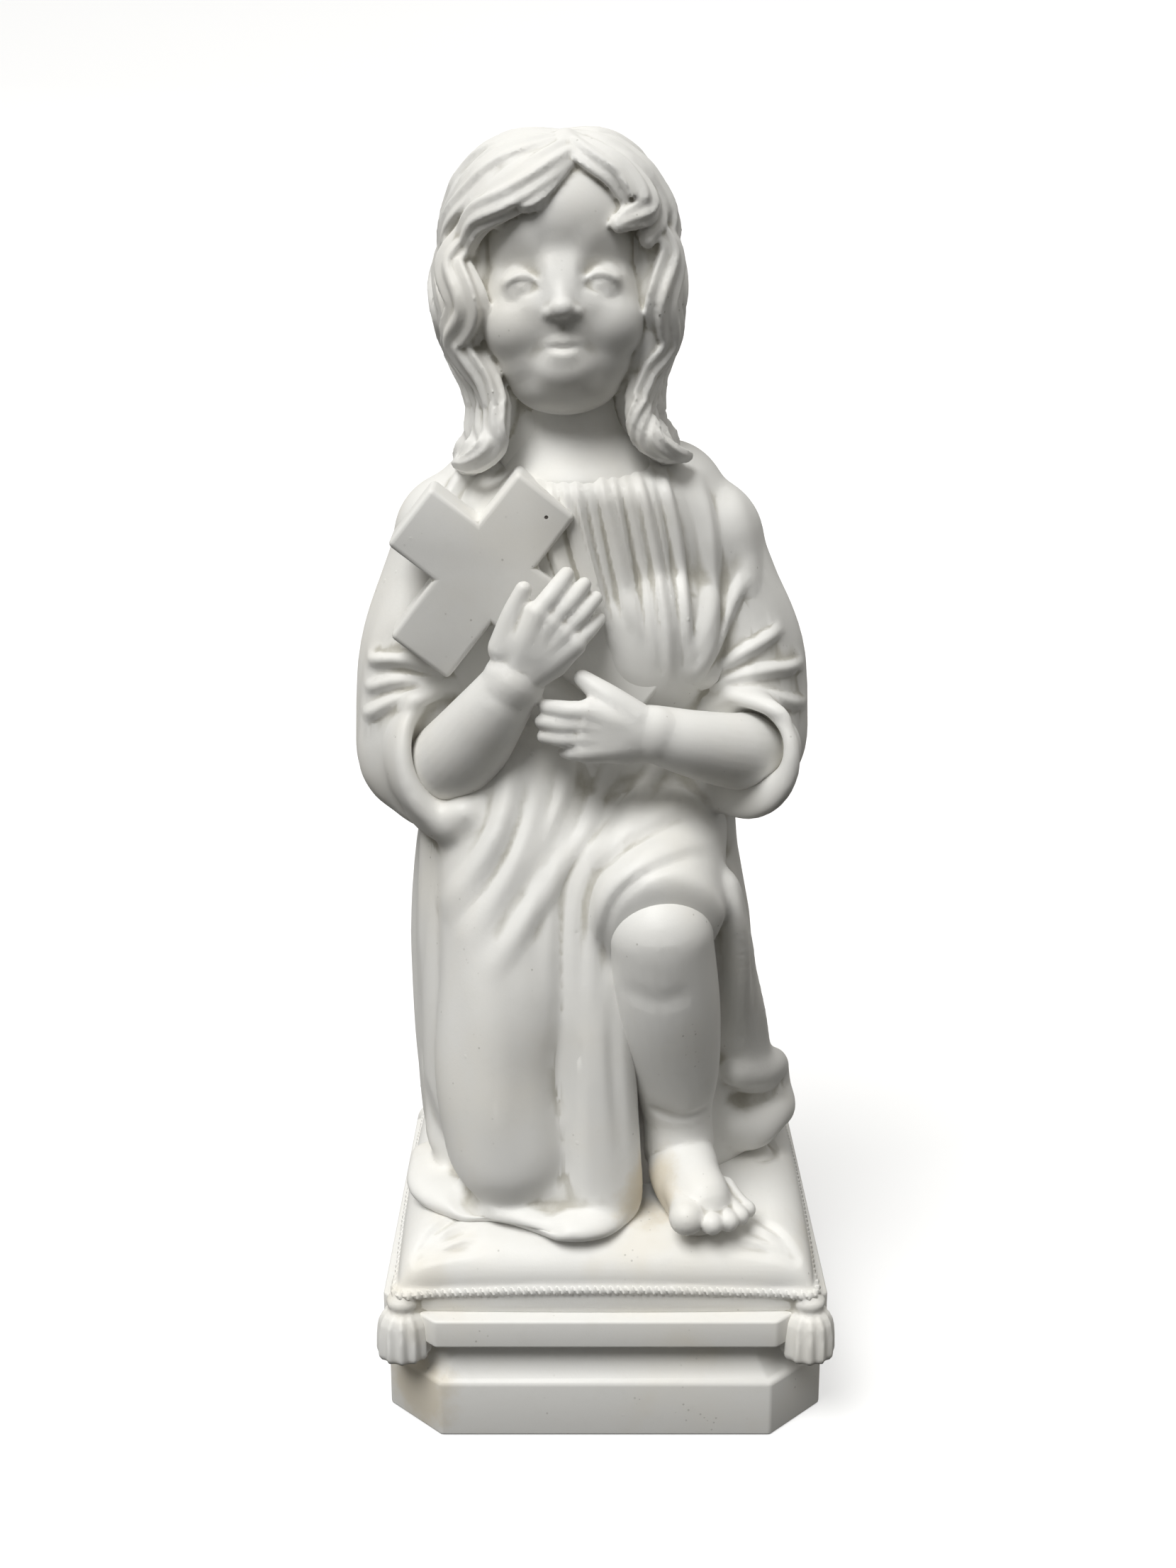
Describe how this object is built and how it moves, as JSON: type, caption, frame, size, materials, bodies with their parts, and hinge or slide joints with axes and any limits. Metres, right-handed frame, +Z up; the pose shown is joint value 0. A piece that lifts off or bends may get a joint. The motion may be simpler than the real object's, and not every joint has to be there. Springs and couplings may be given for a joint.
{
  "type": "kneeling child statue",
  "caption": "Cast plaster statue of a robed child on one knee, holding a cross to its breast, on a tasselled cushion and a low plinth with cut corners.",
  "frame": {"origin": "centre of the plinth's underside, on the surface that the statue stands on", "axes": "+Z up, the child faces -Y, +X to the right of a viewer in front of it"},
  "size_m": [0.1174, 0.1236, 0.3049],
  "materials": {
    "plaster": "matte"
  },
  "bodies": {
    "root": {"kneeling_child_statue": "plaster"}
  },
  "joints": []
}
